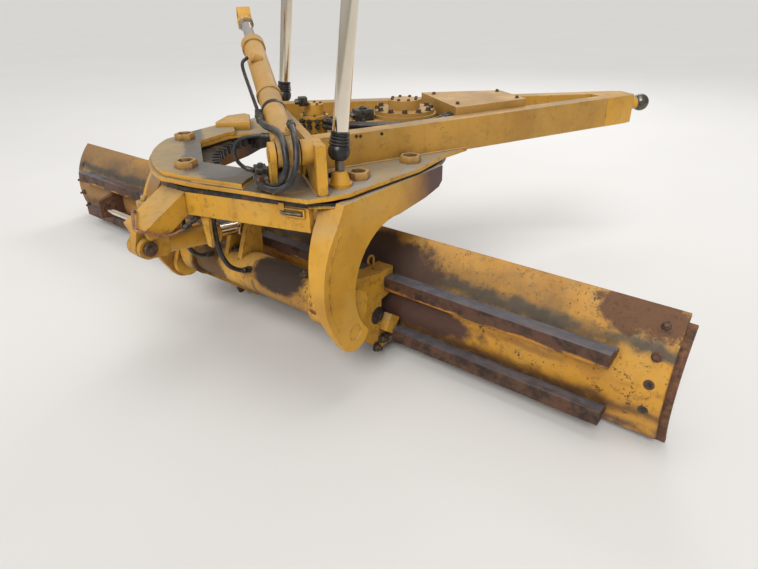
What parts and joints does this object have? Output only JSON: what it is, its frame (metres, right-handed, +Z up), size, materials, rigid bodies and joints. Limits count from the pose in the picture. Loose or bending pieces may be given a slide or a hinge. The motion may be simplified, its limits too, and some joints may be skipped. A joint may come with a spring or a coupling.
{
  "type": "motor grader blade group",
  "caption": "Drawbar, toothed circle and long curved moldboard of a motor grader, with its lift, centre shift, tip and side shift cylinders.",
  "frame": {"origin": "centre of the ball at the drawbar's front end", "axes": "+X forward along the machine, +Y to its left, +Z up"},
  "size_m": [3.3614, 3.6302, 2.8546],
  "materials": {
    "paint_worn": "worn yellow paint with chips and rust",
    "paint_dusty": "yellow paint under grey dust and scuffs",
    "paint_dark": "dark dusty paint",
    "rust": "brown rust over worn paint",
    "bare_steel": "ground bright, scuffed",
    "grease": "dark greased steel",
    "chrome": "polished",
    "boot_rubber": "matt"
  },
  "bodies": {
    "drawbar": {"rail_left": "paint_worn", "rail_right": "paint_worn", "drawbar_head": "paint_worn", "yoke_deck": "paint_dusty", "yoke_rear_plate": "paint_dusty", "circle_shoes": "grease", "shoe_caps": "paint_dusty", "shift_bracket": "paint_worn", "ball_stud_left": "paint_worn", "ball_stud_right": "paint_worn", "circle_gearbox": "paint_dusty", "drive_motor": "paint_dark", "swivel": "paint_worn", "hose_cover": "paint_worn"},
    "circle": {"circle_ring": "grease", "arm_left": "paint_worn", "arm_right": "paint_worn", "rear_beam": "paint_worn", "tip_bracket": "paint_worn"},
    "pinion": {"pinion": "grease"},
    "tilt_frame": {"pivot_tube": "paint_worn", "slide_bracket_left": "paint_worn", "slide_bracket_right": "paint_worn", "tip_ears": "rust", "side_barrel": "paint_worn"},
    "moldboard": {"moldboard": "paint_worn", "upper_slide_rail": "rust", "lower_slide_rail": "rust", "cutting_edge": "bare_steel", "end_bit_left": "rust", "end_bit_right": "rust", "side_rod_bracket": "rust", "side_rod": "chrome"},
    "tip_barrel": {"tip_barrel": "paint_worn"},
    "tip_rod": {"tip_rod": "chrome"},
    "lift_rod_left": {"lift_rod_left": "chrome", "lift_boot_left": "boot_rubber"},
    "lift_barrel_left": {"lift_barrel_left": "paint_worn"},
    "lift_rod_right": {"lift_rod_right": "chrome", "lift_boot_right": "boot_rubber"},
    "lift_barrel_right": {"lift_barrel_right": "paint_worn"},
    "shift_barrel": {"shift_barrel": "paint_worn"},
    "shift_rod": {"shift_rod": "chrome"}
  },
  "joints": [
    {"name": "circle_turn", "type": "hinge", "parent": "drawbar", "child": "circle", "pos_m": [-1.799, 0, -0.118], "axis": [0, 0, 1], "continuous": true},
    {"name": "pinion_turn", "type": "hinge", "parent": "drawbar", "child": "pinion", "pos_m": [-1.391, 0, -0.118], "axis": [0, 0, 1], "continuous": true},
    {"name": "blade_tip", "type": "hinge", "parent": "circle", "child": "tilt_frame", "pos_m": [-2.21648, -0.28414, -0.665], "axis": [-0.5627, 0.8267, 0], "range_deg": [-11, 34]},
    {"name": "side_shift", "type": "slide", "parent": "tilt_frame", "child": "moldboard", "axis": [-0.5627, 0.8267, 0], "range_m": [-1.087, 0.083]},
    {"name": "tip_barrel_swing", "type": "hinge", "parent": "circle", "child": "tip_barrel", "pos_m": [-2.65073, -0.41035, -0.325], "axis": [-0.5627, 0.8267, 0], "range_deg": [-2, 6]},
    {"name": "tip_rod_slide", "type": "slide", "parent": "tip_barrel", "child": "tip_rod", "axis": [0.8181, 0.5568, -0.1441], "range_m": [-0.052, 0.157]},
    {"name": "lift_swing_left", "type": "hinge", "parent": "drawbar", "child": "lift_rod_left", "pos_m": [-1.88, 0.661, 0.054], "axis": [1, 0, 0], "range_deg": [-15, 15]},
    {"name": "lift_slide_left", "type": "slide", "parent": "lift_rod_left", "child": "lift_barrel_left", "axis": [0.1219, 0, 0.9925], "range_m": [-0.48, 0.55]},
    {"name": "lift_swing_right", "type": "hinge", "parent": "drawbar", "child": "lift_rod_right", "pos_m": [-1.88, -0.661, 0.054], "axis": [1, 0, 0], "range_deg": [-15, 15]},
    {"name": "lift_slide_right", "type": "slide", "parent": "lift_rod_right", "child": "lift_barrel_right", "axis": [0.1219, 0, 0.9925], "range_m": [-0.48, 0.55]},
    {"name": "shift_swing", "type": "hinge", "parent": "drawbar", "child": "shift_barrel", "pos_m": [-2.075, -0.69, 0.07], "axis": [1, 0, 0], "range_deg": [-12, 30]},
    {"name": "shift_slide", "type": "slide", "parent": "shift_barrel", "child": "shift_rod", "axis": [0, 0.9426, 0.3338], "range_m": [-0.21, 0.36]}
  ],
  "couplings": [
    {"joint": "pinion_turn", "follows": "circle_turn", "ratio": 4.9231},
    {"joint": "tip_barrel_swing", "follows": "blade_tip", "ratio": 0.16},
    {"joint": "tip_rod_slide", "follows": "blade_tip", "m_per_rad": 0.262}
  ]
}
